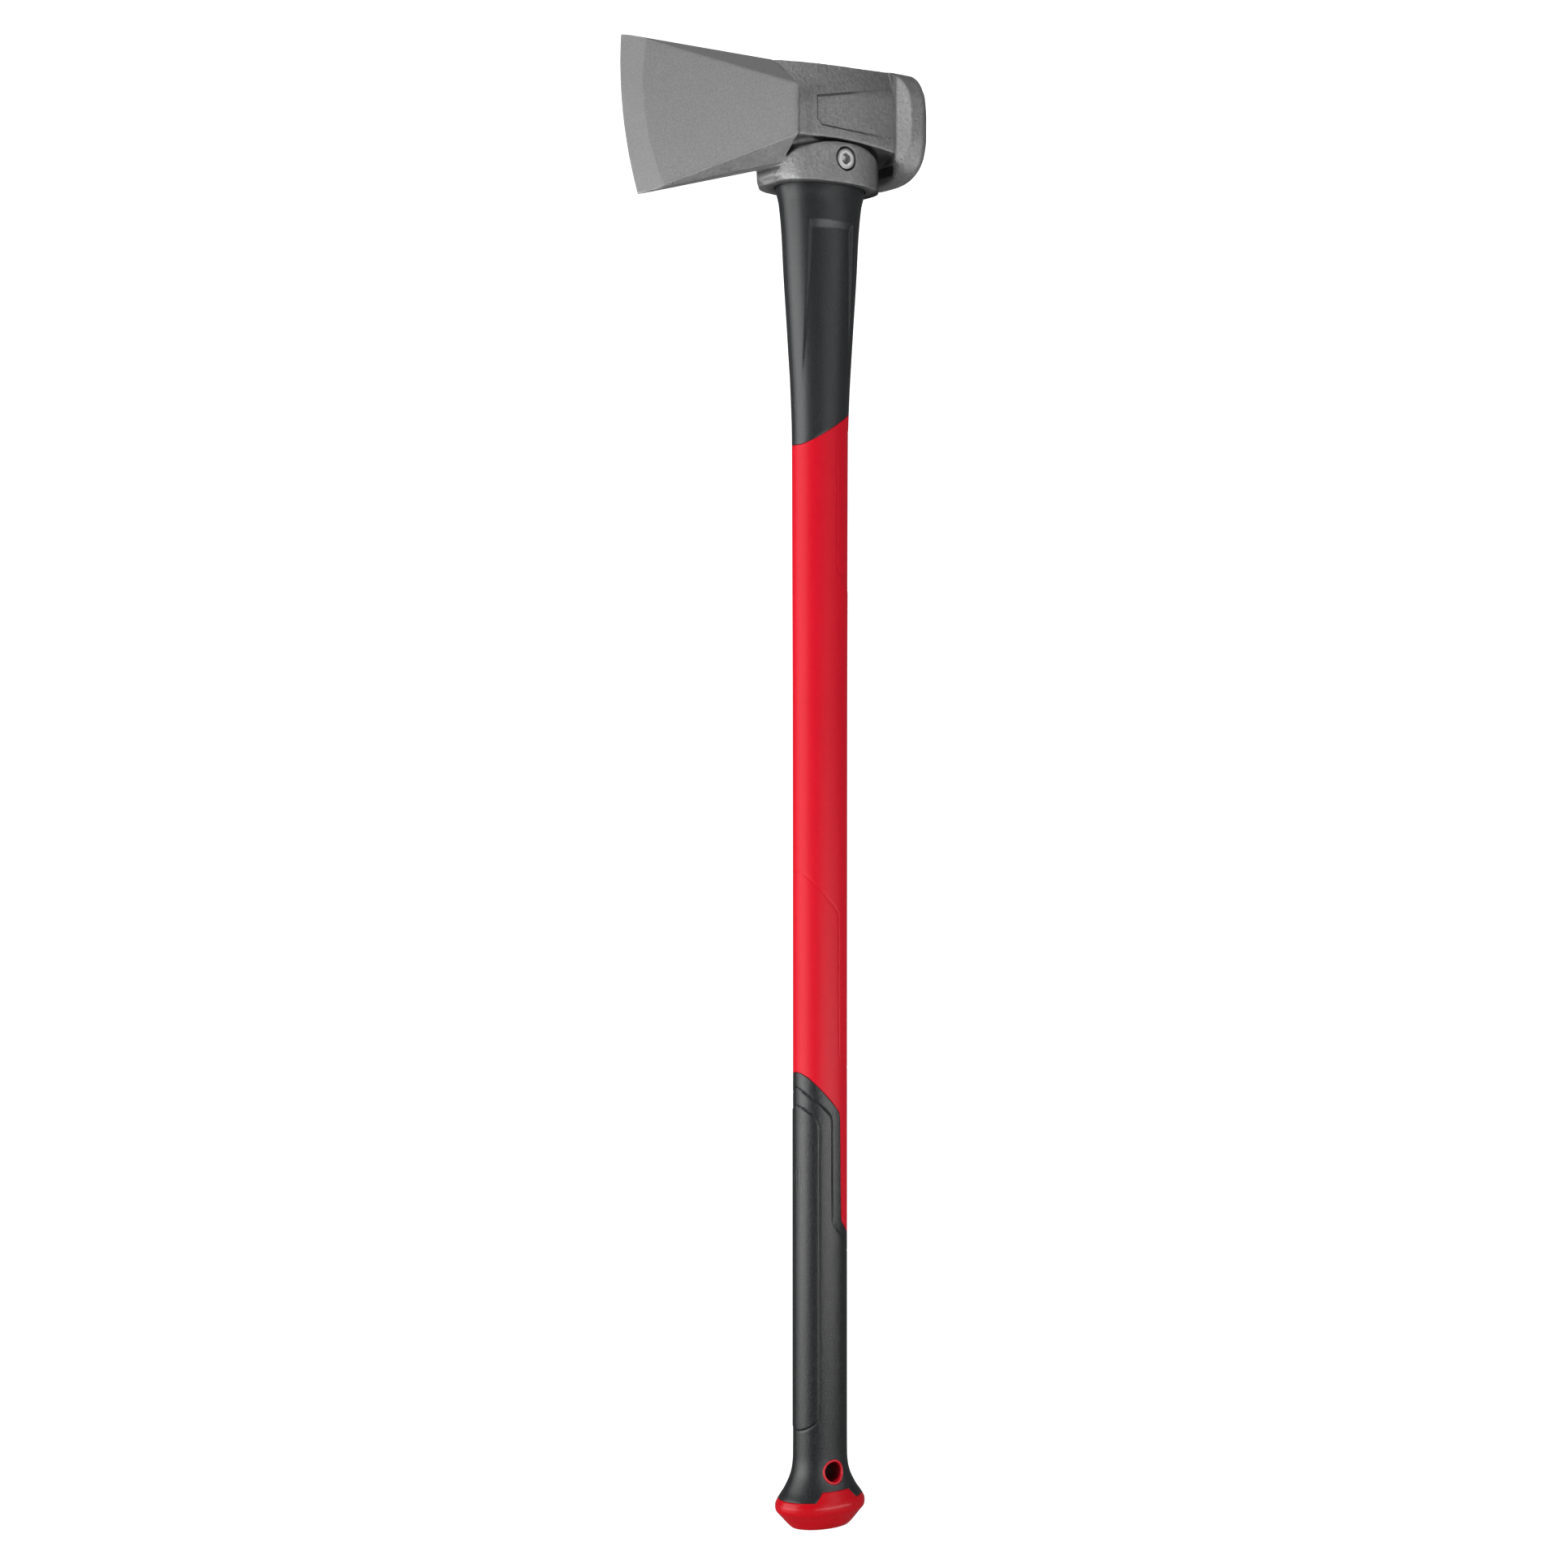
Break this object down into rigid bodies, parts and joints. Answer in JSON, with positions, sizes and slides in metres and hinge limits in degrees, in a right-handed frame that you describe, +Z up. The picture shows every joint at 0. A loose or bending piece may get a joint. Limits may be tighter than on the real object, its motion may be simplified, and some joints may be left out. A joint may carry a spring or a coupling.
{
  "type": "splitting maul",
  "caption": "Long-handled splitting maul: forged wedge head with striking poll, cross-bolted to a fibreglass handle with neck guard, moulded jacket, soft grip and flared butt with lanyard hole.",
  "frame": {"origin": "on the handle's axis at the flat end of the butt", "axes": "+Z up the handle to the head, -X towards the cutting edge, +X towards the striking poll, Y across the head"},
  "size_m": [0.2078, 0.0692, 0.914],
  "materials": {
    "forged_steel": "drop-forged and blasted, fine dull grain, ground bevels",
    "bright_steel": "zinc-plated, bright",
    "fibreglass": "pultruded glass-fibre rod",
    "cast_resin": "cast epoxy",
    "guard_charcoal": "satin charcoal, fine spark-eroded texture",
    "red_jacket": "satin red, fine moulded texture",
    "grip_charcoal": "soft matt charcoal overmould",
    "gloss_red": "gloss red moulding",
    "nylon": "blue nylon ring"
  },
  "bodies": {
    "root": {"maul_head": "forged_steel", "fibreglass_core": "fibreglass", "eye_resin": "cast_resin", "neck_guard": "guard_charcoal", "handle_jacket": "red_jacket", "grip_sleeve": "grip_charcoal", "butt_cap": "gloss_red", "lanyard_bush": "red_jacket", "head_bolt": "bright_steel", "crush_sleeve": "bright_steel", "bolt_washer": "bright_steel", "lock_nut": "bright_steel", "nut_insert": "nylon"}
  },
  "joints": []
}
